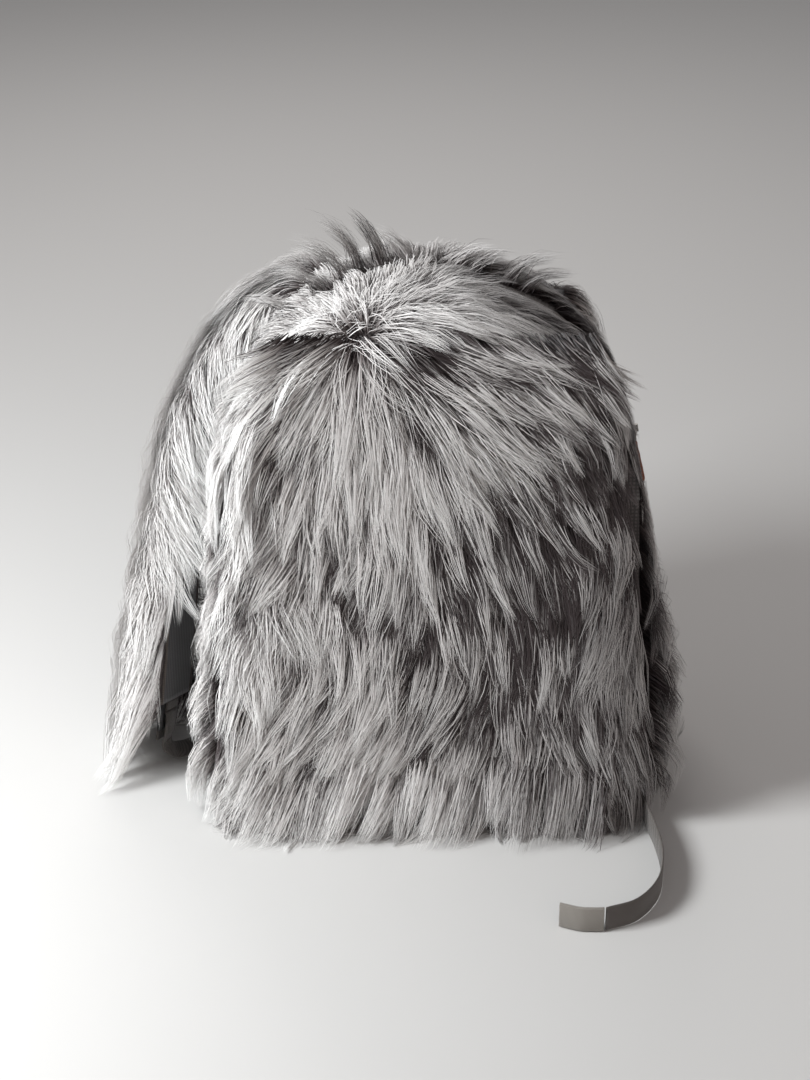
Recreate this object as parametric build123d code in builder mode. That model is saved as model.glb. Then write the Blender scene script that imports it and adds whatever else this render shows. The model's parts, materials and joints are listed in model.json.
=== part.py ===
from build123d import *
import os
from math import cos, radians, sin, sqrt

# Long-pile faux-fur backpack, standing upright. The front faces -Y, +X is to the right, +Z is up.
# Origin: centre of the base on the floor.

# ---- body ----
top_radius = 142.0        # fabric shell, dome
top_z = 252.0             # dome centre height
corner_radius = 45.0      # fabric shell, lower corners
corner_x = 107.0
corner_z = 48.0
front_y = -70.0           # outer face of the front backing fabric
back_y = 70.0             # outer face of the back panel
backing = 2.0             # fur backing fabric
lining = 1.0
panel = 4.0               # back panel cover
foam = 8.0                # back foam
pile = 27.0               # how far the fur stands off its backing
pile_round = 30.0         # rounding of the fur at the front edge
fur_back = 64.0           # depth at which the fur ends behind
floor_z = 0.0

# ---- zip opening ----
fold_z = 288.0            # the flap folds forward along this height
fold_gap = 0.3
zip_y = 22.0              # centre of the zip
tape_width = 16.0         # each side
tape = 1.0
slit = 0.8                # half the gap between the two tapes
coil_width = 2.0
coil_height = 2.0
park_angle = 79.0         # slider at the end of its track
tape_end_angle = 84.0

# ---- slider and puller ----
slider_length = 12.0
slider_width = 10.0
plate = 1.6
slider_clearance = 0.6
pin_radius = 1.0
link_length = 9.0
tab_length = 32.0
tab_width = 10.0
tab_thickness = 2.0

# ---- shoulder straps ----
pad_width = 57.0
pad_core = 10.0
underside = 1.4
strap_pile = 28.0
strap_pile_side = 9.0
web_width = 20.0
web = 1.4

os.makedirs("parts", exist_ok=True)


def outline(y, grow):
    """Dome-topped face across the bag at depth y, grown outwards by grow."""
    # The side is the common tangent of the dome circle and the corner circle.
    run = sqrt(corner_x**2 + (top_z - corner_z) ** 2)
    spread = (top_radius - corner_radius) / run
    lean = corner_x / run
    rise = (top_z - corner_z) / run
    nx = lean * spread + rise * sqrt(1 - spread**2)
    nz = -rise * spread + lean * sqrt(1 - spread**2)
    big = top_radius + grow
    small = corner_radius + grow
    side_top = (nx * big, top_z + nz * big)
    side_low = (corner_x + nx * small, corner_z + nz * small)
    low_mid = (corner_x + small * cos(radians(45)), corner_z - small * sin(radians(45)))
    low_end = (corner_x, corner_z - small)
    left_top = (-side_top[0], side_top[1])
    left_side = (-side_low[0], side_low[1])
    left_mid = (-low_mid[0], low_mid[1])
    left_end = (-low_end[0], low_end[1])
    with BuildSketch(wall(y)) as face:
        with BuildLine():
            ThreePointArc(left_top, (0, top_z + big), side_top)
            Line(side_top, side_low)
            ThreePointArc(side_low, low_mid, low_end)
            Line(low_end, left_end)
            ThreePointArc(left_end, left_mid, left_side)
            Line(left_side, left_top)
        make_face()
    return face.sketch


def wall(y):
    """Plane facing +Y at depth y, whose local axes are X and Z mirrored to keep Z up."""
    return Plane(origin=(0, y, 0), x_dir=(1, 0, 0), z_dir=(0, -1, 0))


def slab(grow, y0, y1, mode=Mode.ADD):
    """Prism of the outline from depth y0 to depth y1."""
    extrude(outline(y1, grow), amount=y1 - y0, mode=mode)


def block(x0, x1, y0, y1, z0, z1, mode=Mode.ADD):
    """Axis-aligned block from its limits."""
    with Locations(((x0 + x1) / 2, (y0 + y1) / 2, (z0 + z1) / 2)):
        Box(x1 - x0, y1 - y0, z1 - z0, mode=mode)


def arc_block(r0, r1, y0, y1, a0, a1, mode=Mode.ADD):
    """Ring sector about the dome axis between two angles from the top."""
    middle = (a0 + a1) / 2

    def at(radius, angle):
        return (radius * sin(radians(angle)), top_z + radius * cos(radians(angle)))

    with BuildSketch(wall(y1)) as sector:
        with BuildLine():
            ThreePointArc(at(r1, a0), at(r1, middle), at(r1, a1))
            Line(at(r1, a1), at(r0, a1))
            ThreePointArc(at(r0, a1), at(r0, middle), at(r0, a0))
            Line(at(r0, a0), at(r1, a0))
        make_face()
    extrude(sector.sketch, amount=y1 - y0, mode=mode)


def ring(r0, r1, y0, y1, half_angle, mode=Mode.ADD):
    """Ring sector reaching half_angle to each side of the top."""
    arc_block(r0, r1, y0, y1, -half_angle, half_angle, mode=mode)


def on_dome(radius, angle):
    """Point at that radius and angle from the top, to the right, at the zip's depth."""
    return Vector(radius * sin(radians(angle)), zip_y, top_z + radius * cos(radians(angle)))


def loft_along(stations, draw, first=0):
    """Loft through draw() sketched across the path at each station from the first."""
    points = [Vector(*place) for place, _ in stations]
    faces = []
    for index, (_, across) in enumerate(stations):
        before = points[max(index - 1, 0)]
        after = points[min(index + 1, len(points) - 1)]
        along = (after - before).normalized()
        width = Vector(*across)
        width = (width - along * width.dot(along)).normalized()
        with BuildSketch(Plane(origin=points[index], x_dir=width, z_dir=along)) as face:
            draw()
        faces.append(face.sketch.faces()[0])
    loft(faces[first:], ruled=True)


def strip(width, low, high):
    """Rectangle across a strap, from low to high along its outward normal."""
    def draw():
        with Locations((0, (low + high) / 2)):
            Rectangle(width, high - low)
    return draw


def fur_channel():
    """Fur over a pad: on its outer face and round both edges."""
    half = pad_width / 2
    skirt = half + strap_pile_side
    top = pad_core / 2 + strap_pile
    Polygon(
        (-skirt, -pad_core / 2),
        (-half, -pad_core / 2),
        (-half, pad_core / 2),
        (half, pad_core / 2),
        (half, -pad_core / 2),
        (skirt, -pad_core / 2),
        (skirt, pad_core / 2 + strap_pile * 0.4),
        (half - 6, top),
        (6 - half, top),
        (-skirt, pad_core / 2 + strap_pile * 0.4),
        align=None,
    )


# Strap stations: centre of the pad, then the direction across it.
left_pad = [
    ((-56, 72, 354), (-0.80, -0.60, 0)),
    ((-80, 93, 363), (-0.55, -0.83, 0)),
    ((-112, 104, 353), (-0.35, -0.93, 0)),
    ((-146, 104, 323), (-0.30, -0.95, 0)),
    ((-173, 86, 276), (-0.30, -0.95, 0)),
    ((-189, 66, 212), (-0.30, -0.95, 0)),
    ((-197, 47, 145), (-0.30, -0.95, 0)),
    ((-202, 29, 88), (-0.30, -0.95, 0)),
    ((-206, 17, 52), (-0.30, -0.95, 0)),
]
right_pad = [
    ((56, 72, 352), (-0.85, 0.50, 0)),
    ((66, 91, 358), (-0.93, 0.36, 0)),
    ((76, 106, 346), (-0.98, 0.20, 0)),
    ((84, 114, 316), (-1, 0.08, 0)),
    ((92, 114, 270), (-1, 0, 0)),
    ((100, 110, 215), (-1, 0, 0)),
    ((107, 105, 165), (-1, 0, 0)),
    ((113, 101, 120), (-1, 0, 0)),
    ((117, 99, 86), (-1, 0, 0)),
]


def pad_solid(stations, draw, first=0):
    """Loft along a strap, trimmed clear of the back panel and of the bag's own fur."""
    loft_along(stations, draw, first)
    block(-140, 140, 20, back_y + 2.3, 300, 420, mode=Mode.SUBTRACT)
    slab(pile + 0.4, front_y, fur_back + 0.4, mode=Mode.SUBTRACT)


def end_frame(stations):
    """Plane at a strap's lower end: X runs on down the strap, Y points outwards."""
    last = Vector(*stations[-1][0])
    along = (last - Vector(*stations[-2][0])).normalized()
    across = Vector(*stations[-1][1])
    across = (across - along * across.dot(along)).normalized()
    return Plane(origin=last, x_dir=along, z_dir=-across)


left_end = end_frame(left_pad)
right_end = end_frame(right_pad)


def tape_line(plane, points, width=web_width, thick=web):
    """Webbing whose edge follows points in the plane, width across it."""
    with BuildSketch(plane) as edge:
        with BuildLine() as path:
            Polyline(*points)
        trace(path.line, line_width=thick)
    extrude(edge.sketch, amount=width / 2, both=True)


def ladder_lock(plane):
    """Frame with three cross bars."""
    rail = 3.2
    inner = web_width + 1.6
    thick = 4.0
    bars = ((4.0, 7.0), (12.2, 15.4), (21.0, 24.0))
    for side in (-1, 1):
        near = side * inner / 2
        far = side * (inner / 2 + rail)
        with BuildSketch(plane.offset(min(near, far))) as rail_face:
            with Locations((14.0, 0)):
                SlotOverall(22.0, thick)
        extrude(rail_face.sketch, amount=rail)
    for low, high in bars:
        with BuildSketch(plane.offset(-inner / 2)) as bar_face:
            with Locations(((low + high) / 2, 0)):
                RectangleRounded(high - low, thick - 0.6, 1.0)
        extrude(bar_face.sketch, amount=inner)


# ==== body: fabric ====
with BuildPart() as back_panel:
    slab(0, back_y - panel, back_y)
back_panel.part.label = "back_panel"

with BuildPart() as back_foam:
    slab(-backing - lining, back_y - panel - foam, back_y - panel)
back_foam.part.label = "back_foam"

inner_back = back_y - panel - foam
with BuildPart() as back_lining:
    slab(-backing - lining, inner_back - lining, inner_back)
back_lining.part.label = "back_lining"

inner_back = inner_back - lining
tape_front = zip_y - tape_width
tape_back = zip_y + tape_width

with BuildPart() as backing_body:
    slab(0, front_y, back_y - panel)
    slab(-backing, front_y + backing, back_y - panel, mode=Mode.SUBTRACT)
    block(-200, 200, front_y - 1, tape_back, fold_z, 420, mode=Mode.SUBTRACT)
    ring(top_radius - 4, top_radius + 4, tape_front, tape_back, tape_end_angle, mode=Mode.SUBTRACT)
backing_body.part.label = "backing_body"

with BuildPart() as lining_body:
    slab(-backing, front_y + backing, back_y - panel - foam - lining)
    slab(
        -backing - lining,
        front_y + backing + lining,
        back_y - panel - foam - lining,
        mode=Mode.SUBTRACT,
    )
    block(-200, 200, front_y - 1, tape_back, fold_z, 420, mode=Mode.SUBTRACT)
    ring(top_radius - 5, top_radius + 4, tape_front, tape_back, tape_end_angle, mode=Mode.SUBTRACT)
lining_body.part.label = "lining_body"

base_depth = -front_y + back_y - panel
with BuildPart() as base_panel:
    with BuildSketch(Plane.XY.offset(floor_z)):
        with Locations((0, (front_y + back_y - panel) / 2)):
            RectangleRounded(2 * corner_x - 14, base_depth - 6, 14)
    extrude(amount=corner_z - corner_radius)
    fillet(base_panel.faces().sort_by(Axis.Z)[0].edges(), 1.2)
base_panel.part.label = "base_panel"

with BuildPart() as base_board:
    with BuildSketch(Plane.XY.offset(corner_z - corner_radius + backing + lining)):
        with Locations((0, (front_y + inner_back + backing + lining) / 2)):
            RectangleRounded(2 * corner_x - 10, inner_back - front_y - 9, 12)
    extrude(amount=2.0)
base_board.part.label = "base_board"

with BuildPart() as inner_pocket:
    block(-85, 85, inner_back - 4.0, inner_back, 70, 225)
    block(-84, 84, inner_back - 3.0, inner_back + 1, 71, 226, mode=Mode.SUBTRACT)
inner_pocket.part.label = "inner_pocket"

with BuildPart() as back_binding:
    slab(2.8, back_y - panel - 1.5, back_y + 1.5)
    slab(0, back_y - panel - 1.5, back_y + 1.5, mode=Mode.SUBTRACT)
    fillet(back_binding.edges().filter_by(lambda e: e.center().Y > back_y + 1.4), 0.9)
back_binding.part.label = "back_binding"

with BuildPart() as yoke_patch:
    with BuildSketch(wall(back_y + 1.6)):
        Polygon((-92, 348), (-56, 374), (56, 374), (92, 348), (60, 332), (-60, 332), align=None)
    extrude(amount=1.6)
yoke_patch.part.label = "yoke_patch"

with BuildPart() as haul_anchor:
    block(-34, 34, back_y + 1.6, back_y + 3.3, 368, 376)
haul_anchor.part.label = "haul_anchor"

tab_y = back_y + 1.5
for side, name in ((-1, "anchor_tab_left"), (1, "anchor_tab_right")):
    with BuildPart() as anchor_tab:
        with BuildSketch(wall(tab_y + 1.6)):
            with BuildLine():
                Polyline(
                    (side * 100, 22),
                    (side * 118, 52),
                    (side * 154, 25),
                    (side * 152, 5),
                    (side * 120, 5),
                    close=True,
                )
            make_face()
        extrude(amount=1.6)
    anchor_tab.part.label = name
    export_step(anchor_tab.part, f"parts/{name}.step")

# ==== body: fur ====
with BuildPart() as fur_mass:
    slab(pile, front_y - pile, fur_back)
    fillet(fur_mass.faces().sort_by(Axis.Y)[0].edges(), pile_round)
    slab(0, front_y, fur_back + 1, mode=Mode.SUBTRACT)
    block(-300, 300, -200, 200, -100, floor_z, mode=Mode.SUBTRACT)
    # The webbing on the floor runs under the fur of the sides and of the right front corner.
    block(-300, 300, front_y, 200, -1, 24, mode=Mode.SUBTRACT)
    block(100, 300, -200, 200, -1, 24, mode=Mode.SUBTRACT)
    # The plain band with the zip.
    ring(top_radius, 300, tape_front, tape_back, 75, mode=Mode.SUBTRACT)
    block(-300, 300, tape_front - 2, tape_back + 2, 262, 292, mode=Mode.SUBTRACT)
    # Room for the puller.
    block(140, 300, zip_y - 8, zip_y + 8, 226, 264, mode=Mode.SUBTRACT)
    block(-300, -140, zip_y - 8, zip_y + 8, 226, 264, mode=Mode.SUBTRACT)

with BuildPart() as fur_front_lower:
    add(fur_mass.part)
    block(-300, 300, -200, front_y, -1, fold_z, mode=Mode.INTERSECT)
fur_front_lower.part.label = "fur_front_lower"

with BuildPart() as fur_front_upper:
    add(fur_mass.part)
    block(-300, 300, -200, front_y, fold_z + fold_gap, 500, mode=Mode.INTERSECT)
fur_front_upper.part.label = "fur_front_upper"

with BuildPart() as fur_side_left:
    add(fur_mass.part)
    block(-300, 0, front_y, 200, -1, fold_z, mode=Mode.INTERSECT)
fur_side_left.part.label = "fur_side_left"

with BuildPart() as fur_side_right:
    add(fur_mass.part)
    block(0, 300, front_y, 200, -1, fold_z, mode=Mode.INTERSECT)
fur_side_right.part.label = "fur_side_right"

with BuildPart() as fur_top_front:
    add(fur_mass.part)
    block(-300, 300, front_y, tape_front, fold_z + fold_gap, 500, mode=Mode.INTERSECT)
fur_top_front.part.label = "fur_top_front"

with BuildPart() as fur_top_rear:
    add(fur_mass.part)
    block(-300, 300, tape_back, 200, fold_z, 500, mode=Mode.INTERSECT)
fur_top_rear.part.label = "fur_top_rear"

# ==== flap: fabric ====
with BuildPart() as backing_flap:
    slab(0, front_y, tape_front)
    slab(-backing, front_y + backing, tape_front + 1, mode=Mode.SUBTRACT)
    block(-300, 300, -200, 200, fold_z + fold_gap, 500, mode=Mode.INTERSECT)
backing_flap.part.label = "backing_flap"

with BuildPart() as lining_flap:
    slab(-backing, front_y + backing, tape_front)
    slab(-backing - lining, front_y + backing + lining, tape_front + 1, mode=Mode.SUBTRACT)
    block(-300, 300, -200, 200, fold_z + fold_gap, 500, mode=Mode.INTERSECT)
lining_flap.part.label = "lining_flap"

# ==== zip ====
with BuildPart() as zip_tape_rear:
    ring(top_radius - tape, top_radius, tape_front, tape_back, tape_end_angle)
    ring(top_radius - 3, top_radius + 1, zip_y - slit, zip_y + slit, tape_end_angle - 1.2, mode=Mode.SUBTRACT)
    block(-300, 300, -200, zip_y, fold_z, 500, mode=Mode.SUBTRACT)
zip_tape_rear.part.label = "zip_tape_rear"

with BuildPart() as zip_tape_front:
    ring(top_radius - tape, top_radius, tape_front, zip_y - slit, 80)
    block(-300, 300, -200, 200, fold_z + fold_gap, 500, mode=Mode.INTERSECT)
zip_tape_front.part.label = "zip_tape_front"

with BuildPart() as zip_coil_rear:
    ring(top_radius, top_radius + coil_height, zip_y + slit, zip_y + slit + coil_width, 82)
zip_coil_rear.part.label = "zip_coil_rear"

with BuildPart() as zip_coil_front:
    ring(top_radius, top_radius + coil_height, zip_y - slit - coil_width, zip_y - slit, 80)
    block(-300, 300, -200, 200, fold_z + fold_gap, 500, mode=Mode.INTERSECT)
zip_coil_front.part.label = "zip_coil_front"

for side, name in ((-1, "zip_stop_left"), (1, "zip_stop_right")):
    with BuildPart() as zip_stop:
        low = min(side * 82.2, side * 83.0)
        high = max(side * 82.2, side * 83.0)
        arc_block(top_radius, top_radius + 2.6, zip_y - 3.2, zip_y + 3.2, low, high)
    zip_stop.part.label = name
    export_step(zip_stop.part, f"parts/{name}.step")

# The slider's plates follow the dome; its neck runs in the slit between the tapes.
half_slider = slider_length / 2 / top_radius * 57.3
slider_low = park_angle - half_slider
slider_high = park_angle + half_slider
top_plate = top_radius + coil_height + slider_clearance
under_plate = top_radius - tape - slider_clearance
pin_height = top_radius + 7.2
with BuildPart() as zip_slider:
    y_low = zip_y - slider_width / 2
    y_high = zip_y + slider_width / 2
    arc_block(top_plate, top_plate + plate, y_low, y_high, slider_low, slider_high)
    arc_block(under_plate - plate, under_plate, y_low, y_high, slider_low, slider_high)
    arc_block(under_plate - 0.5, top_plate + 0.5, zip_y - 0.5, zip_y + 0.5, slider_high - 1.6, slider_high)
    arc_block(top_plate - 1.4, top_plate + 0.5, y_low, y_low + 1.2, slider_low, slider_high)
    arc_block(top_plate - 1.4, top_plate + 0.5, y_high - 1.2, y_high, slider_low, slider_high)
    arc_block(top_plate, pin_height + 2.2, zip_y - 1.3, zip_y + 1.3, park_angle - 1.1, park_angle + 1.1)
    pin_at = on_dome(pin_height, park_angle)
    with Locations(Location((pin_at.X, pin_at.Y, pin_at.Z), (90, 0, 0))):
        Cylinder(pin_radius + 0.3, 30, mode=Mode.SUBTRACT)
zip_slider.part.label = "zip_slider"

with BuildPart() as puller_link:
    link_plane = Plane(origin=(pin_at.X, pin_at.Y, pin_at.Z), x_dir=(0, 1, 0), z_dir=(1, 0, 0))
    with BuildSketch(link_plane.offset(-0.8)):
        with Locations((0, -link_length / 2)):
            RectangleRounded(8.6, link_length + 1.6, 1.5)
            Rectangle(5.4, link_length - 1.6, mode=Mode.SUBTRACT)
    extrude(amount=1.6)
puller_link.part.label = "puller_link"

with BuildPart() as puller_tab:
    tab_top = pin_at.Z - link_length + 2.6
    plane = Plane(origin=(pin_at.X, pin_at.Y, tab_top), x_dir=(0, 1, 0), z_dir=(1, 0, 0))
    with BuildSketch(plane.offset(-1.5)):
        with Locations((0, -4.0)):
            Rectangle(4.6, 8.0)
    extrude(amount=3.0)
    with BuildSketch(plane.offset(-tab_thickness / 2)):
        with Locations((0, -5.0 - tab_length / 2)):
            RectangleRounded(tab_width, tab_length, 3)
    extrude(amount=tab_thickness)
puller_tab.part.label = "puller_tab"

# ==== haul loop ====
with BuildPart() as haul_loop:
    with BuildSketch(wall(back_y + 22)):
        with BuildLine():
            path = Polyline(
                (-26, 374),
                (-26, 362),
                (-22, 349),
                (-13, 342),
                (0, 340),
                (13, 342),
                (22, 349),
                (26, 362),
                (26, 374),
            )
        trace(path, line_width=2.6)
    extrude(amount=18)
haul_loop.part.label = "haul_loop"

# ==== shoulder straps ====
for name, stations in (("left", left_pad), ("right", right_pad)):
    with BuildPart() as pad:
        pad_solid(stations, strip(pad_width, -pad_core / 2, pad_core / 2))
    pad.part.label = f"{name}_pad_core"
    export_step(pad.part, f"parts/{name}_pad_core.step")
    with BuildPart() as under:
        pad_solid(stations, strip(pad_width, -pad_core / 2 - underside, -pad_core / 2))
    under.part.label = f"{name}_pad_underside"
    export_step(under.part, f"parts/{name}_pad_underside.step")
    with BuildPart() as cover:
        pad_solid(stations, fur_channel, first=1)
    cover.part.label = f"{name}_pad_fur"
    export_step(cover.part, f"parts/{name}_pad_fur.step")

lock_loop = [(0.7, -1.6), (3.0, -2.9), (8.3, -2.9), (8.3, 2.9), (3.0, 2.9), (0.7, 1.6)]
for name, plane in (("left", left_end), ("right", right_end)):
    with BuildPart() as loop:
        tape_line(plane, lock_loop)
    loop.part.label = f"{name}_lock_loop"
    export_step(loop.part, f"parts/{name}_lock_loop.step")
    with BuildPart() as lock:
        ladder_lock(plane)
    lock.part.label = f"{name}_ladder_lock"
    export_step(lock.part, f"parts/{name}_ladder_lock.step")


def lower_web(plane, tail, floor_stations):
    """Webbing through the ladder lock: a short tail in front, then on to the bag's corner."""
    thread = [(tail, 3.2), (26, 3.2), (11.4, 3.2), (11.4, -3.2), (26, -3.2)]
    tape_line(plane, thread)
    start = plane.from_local_coords(Vector(26, -3.2, 0))
    across = plane.z_dir * -1
    stations = [(tuple(start), tuple(across))] + floor_stations
    loft_along(stations, strip(web_width, -web / 2, web / 2))


with BuildPart() as left_webbing:
    lower_web(
        left_end,
        34,
        [
            ((-208, 5, 18), (-0.25, -0.97, 0)),
            ((-203, 6, 11), (0.0, -1, 0)),
            ((-195, 13, 7), (0.25, -0.95, 0)),
            ((-183, 27, 4), (0.60, -0.80, 0)),
            ((-170, 45, 2.4), (0.75, -0.66, 0)),
            ((-160, 60, 3), (0.80, -0.60, 0)),
        ],
    )
left_webbing.part.label = "left_webbing"

with BuildPart() as right_webbing:
    lower_web(
        right_end,
        26.2,
        [
            ((124, 90, 50), (-1, 0, 0)),
            ((130, 85, 38), (-1, 0, 0)),
            ((138, 79, 26), (-0.95, 0, -0.3)),
            ((144, 76.5, 18), (-0.8, 0, -0.6)),
        ],
    )
right_webbing.part.label = "right_webbing"

# The right webbing's tail drops to the floor, turns on to its edge and runs round to the front.
with BuildPart() as right_tail_drop:
    start = right_end.from_local_coords(Vector(26.6, 3.2, 0))
    across = right_end.z_dir * -1
    loft_along(
        [
            (tuple(start), tuple(across)),
            ((123, 101, 50), (-1, 0, 0)),
            ((125, 102, 38), (-0.92, 0, -0.4)),
            ((129, 102, 27), (-0.75, 0, -0.66)),
            ((135, 102, 18), (-0.45, 0, -0.9)),
            ((142, 102, 12.5), (-0.2, 0, -1)),
        ],
        strip(web_width, -web / 2, web / 2),
    )
right_tail_drop.part.label = "right_tail_drop"

tail_path = [
    (151.5, 100),
    (157, 96),
    (161, 84),
    (162, 50),
    (160, 0),
    (156, -45),
    (158, -80),
    (163, -114),
    (164, -145),
    (157, -175),
    (140, -198),
    (118, -208),
]
fold_path = [(116.5, -208.4), (100, -208), (86, -203)]


def floor_tape(points, thick, low, high):
    """Webbing standing on its edge on the floor."""
    with BuildSketch(Plane.XY.offset(low)) as edge:
        with BuildLine() as path:
            Polyline(*points)
        trace(path.line, line_width=thick)
    extrude(edge.sketch, amount=high - low)


with BuildPart() as right_tail:
    floor_tape(tail_path, web, 0.6, 0.6 + web_width)
right_tail.part.label = "right_tail"

with BuildPart() as right_tail_fold:
    floor_tape(fold_path, 2 * web, 0.5, 0.5 + web_width)
right_tail_fold.part.label = "right_tail_fold"

for item in (
    back_panel,
    back_foam,
    back_lining,
    backing_body,
    lining_body,
    base_panel,
    base_board,
    inner_pocket,
    back_binding,
    yoke_patch,
    haul_anchor,
    fur_front_lower,
    fur_front_upper,
    fur_side_left,
    fur_side_right,
    fur_top_front,
    fur_top_rear,
    backing_flap,
    lining_flap,
    zip_tape_rear,
    zip_tape_front,
    zip_coil_rear,
    zip_coil_front,
    zip_slider,
    puller_link,
    puller_tab,
    haul_loop,
    left_webbing,
    right_webbing,
    right_tail_drop,
    right_tail,
    right_tail_fold,
):
    export_step(item.part, f"parts/{item.part.label}.step")
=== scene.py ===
import json
import math

import bpy
import numpy as np
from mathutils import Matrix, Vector


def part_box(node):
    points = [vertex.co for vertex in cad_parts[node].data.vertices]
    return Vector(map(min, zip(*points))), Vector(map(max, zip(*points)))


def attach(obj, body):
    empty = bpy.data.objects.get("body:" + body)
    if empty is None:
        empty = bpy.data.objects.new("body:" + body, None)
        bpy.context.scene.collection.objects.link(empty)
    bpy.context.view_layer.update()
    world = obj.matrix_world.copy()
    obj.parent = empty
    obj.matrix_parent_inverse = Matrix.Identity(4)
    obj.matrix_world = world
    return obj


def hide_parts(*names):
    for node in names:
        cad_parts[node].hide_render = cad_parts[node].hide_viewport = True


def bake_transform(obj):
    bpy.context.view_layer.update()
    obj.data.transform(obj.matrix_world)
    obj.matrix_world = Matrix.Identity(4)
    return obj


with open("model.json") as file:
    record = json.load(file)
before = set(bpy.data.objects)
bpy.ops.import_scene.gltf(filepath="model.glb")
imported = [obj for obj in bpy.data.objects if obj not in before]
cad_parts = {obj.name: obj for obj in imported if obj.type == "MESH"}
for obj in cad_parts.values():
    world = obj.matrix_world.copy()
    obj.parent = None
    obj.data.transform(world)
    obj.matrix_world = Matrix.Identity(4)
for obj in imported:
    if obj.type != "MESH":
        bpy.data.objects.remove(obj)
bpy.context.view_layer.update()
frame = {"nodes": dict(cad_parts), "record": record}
record = frame["record"]
rng = np.random.default_rng(11)

# ---- driving dimensions, in metres; the fur grows from the shell ----
TOP_R = 0.142  # radius and centre height of the dome
TOP_Z = 0.252
CORNER_R = 0.045  # radius and centre of the lower corners
CORNER_X = 0.107
CORNER_Z = 0.048
FRONT_Y = -0.070
PAD_W = 0.057  # shoulder pads
PAD_CORE = 0.010
PAD_UNDERSIDE = 0.0014
WEB_W = 0.020  # webbing
WEB_T = 0.0014
FOLD_HALF_WIDTH = 0.020  # strip of cloth over the flap's fold
FOLD_CLOTH = 0.0005
CLUMP = 22  # strands in a lock
STRAND_VERTS = 11
STRAND_QUADS = 4

joints = {j["name"]: j for j in record["behaviour"]["joints"]}
FOLD = Vector(joints["flap_fold"]["pos_m"])
BACK_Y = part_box("back_panel")[1].y
FUR_BACK_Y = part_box("fur_side_right")[1].y
TAPE_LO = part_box("zip_tape_rear")[0].y
TAPE_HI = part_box("zip_tape_rear")[1].y
ZIP_Y = (TAPE_LO + TAPE_HI) / 2

# The fur radiates from a whorl at the front edge of the dome, a little to the left.
WHORL = np.array([-0.052, -0.066, 0.392])


# ================= materials =================
def new_material(name):
    material = bpy.data.materials.new(name)
    material.use_nodes = True
    tree = material.node_tree
    shader = tree.nodes["Principled BSDF"]
    return material, tree, shader


def add(tree, kind, **inputs):
    """A new shader node with these inputs set."""
    made = tree.nodes.new("ShaderNode" + kind)
    for key, value in inputs.items():
        made.inputs[key].default_value = value
    return made


def ramp_node(tree, stops):
    node = add(tree, "ValToRGB")
    ramp = node.color_ramp
    while len(ramp.elements) < len(stops):
        ramp.elements.new(0.5)
    for element, (place, colour) in zip(ramp.elements, stops):
        element.position = place
        element.color = (*colour, 1)
    return node


def fur_material(name):
    """Colour from the strand's own coordinates: U is its tone, V runs from root to tip."""
    material, tree, shader = new_material(name)
    link = tree.links.new
    uv = add(tree, "UVMap")
    uv.uv_map = "OFBake"
    split = add(tree, "SeparateXYZ")
    link(uv.outputs["UV"], split.inputs[0])
    dark = ramp_node(tree, [
        (0.0, (0.012, 0.008, 0.009)),
        (0.45, (0.028, 0.019, 0.020)),
        (0.80, (0.062, 0.048, 0.049)),
        (1.0, (0.17, 0.145, 0.145)),
    ])
    light = ramp_node(tree, [
        (0.0, (0.030, 0.021, 0.021)),
        (0.18, (0.13, 0.107, 0.104)),
        (0.42, (0.62, 0.595, 0.585)),
        (1.0, (0.97, 0.965, 0.955)),
    ])
    mix = add(tree, "Mix")
    mix.data_type = "RGBA"
    link(split.outputs["X"], mix.inputs[0])
    for socket, ramp in ((6, dark), (7, light)):
        link(split.outputs["Y"], ramp.inputs[0])
        link(ramp.outputs[0], mix.inputs[socket])
    link(mix.outputs[2], shader.inputs["Base Color"])
    shader.inputs["Roughness"].default_value = 0.52
    shader.inputs["Specular IOR Level"].default_value = 0.35
    return material


def finish_cloth(tree, shader, ramp, tone, height, strength, depth):
    """Colour from tone through the ramp, and bumps from height."""
    tree.links.new(tone, ramp.inputs[0])
    tree.links.new(ramp.outputs[0], shader.inputs["Base Color"])
    bumps = add(tree, "Bump", Strength=strength, Distance=depth)
    tree.links.new(height, bumps.inputs["Height"])
    tree.links.new(bumps.outputs[0], shader.inputs["Normal"])


def weave_material(name, dark, light, scale=900.0, rough=0.85, bump=0.35):
    """Woven cloth: two crossed sets of threads with slow fading over the piece."""
    material, tree, shader = new_material(name)
    link = tree.links.new
    coords = add(tree, "TexCoord")
    cross = add(tree, "Math")
    cross.operation = "MULTIPLY"
    for number, direction in enumerate("XZ"):
        wave = add(tree, "TexWave", Scale=scale / 6.3, Distortion=0.6)
        wave.bands_direction = direction
        link(coords.outputs["Object"], wave.inputs["Vector"])
        link(wave.outputs["Fac"], cross.inputs[number])
    noise = add(tree, "TexNoise", Scale=22, Detail=6)
    link(coords.outputs["Object"], noise.inputs["Vector"])
    total = add(tree, "Math")
    total.operation = "MULTIPLY_ADD"
    total.inputs[1].default_value = 0.5
    link(noise.outputs["Fac"], total.inputs[0])
    link(cross.outputs[0], total.inputs[2])
    ramp = ramp_node(tree, [(0.1, dark), (1.0, light)])
    finish_cloth(tree, shader, ramp, total.outputs[0], cross.outputs[0], bump, 0.0004)
    shader.inputs["Roughness"].default_value = rough
    shader.inputs["Sheen Weight"].default_value = 0.3
    return material


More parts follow.
